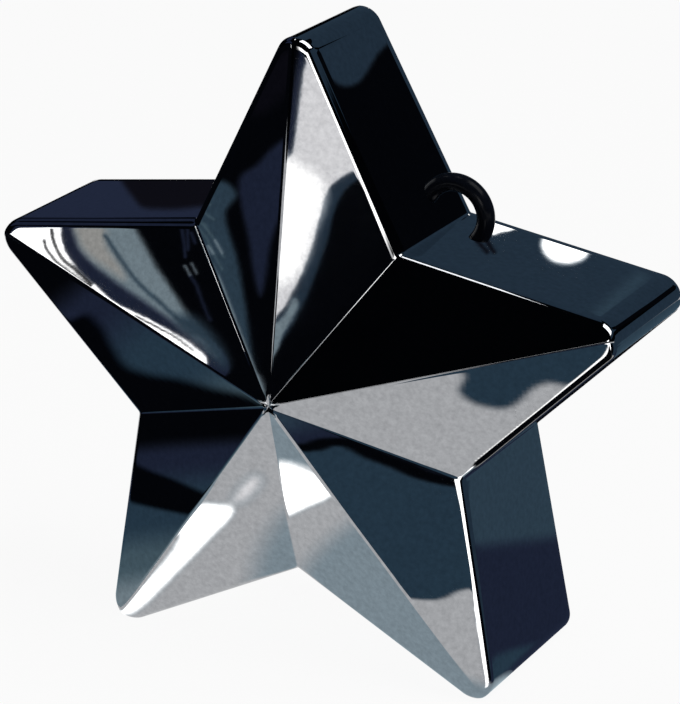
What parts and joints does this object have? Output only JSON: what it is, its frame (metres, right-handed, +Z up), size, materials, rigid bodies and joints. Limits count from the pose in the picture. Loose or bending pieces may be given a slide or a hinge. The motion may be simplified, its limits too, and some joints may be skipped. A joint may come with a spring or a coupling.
{
  "type": "balloon weight",
  "caption": "Standing star-shaped balloon weight: a faceted metallised shell filled with sand, closed by a back cover and plug, with a small loop for ribbon.",
  "frame": {"origin": "on the surface the star stands on, under the middle of the bounding box", "axes": "+X to the right seen from the front, +Y from the faceted front to the back cover, +Z up along the top point"},
  "size_m": [0.0974, 0.0346, 0.093],
  "materials": {
    "metallised_shell": "black metallised, mirror gloss with faint orange peel",
    "metallised_cover": "black metallised gloss",
    "plug_plastic": "moulded black, satin",
    "loop_plastic": "moulded black, glossy",
    "sand": "dry packed sand"
  },
  "bodies": {
    "root": {"front_shell": "metallised_shell", "back_cover": "metallised_cover", "filling_plug": "plug_plastic", "ribbon_loop": "loop_plastic", "sand_fill": "sand"}
  },
  "joints": []
}
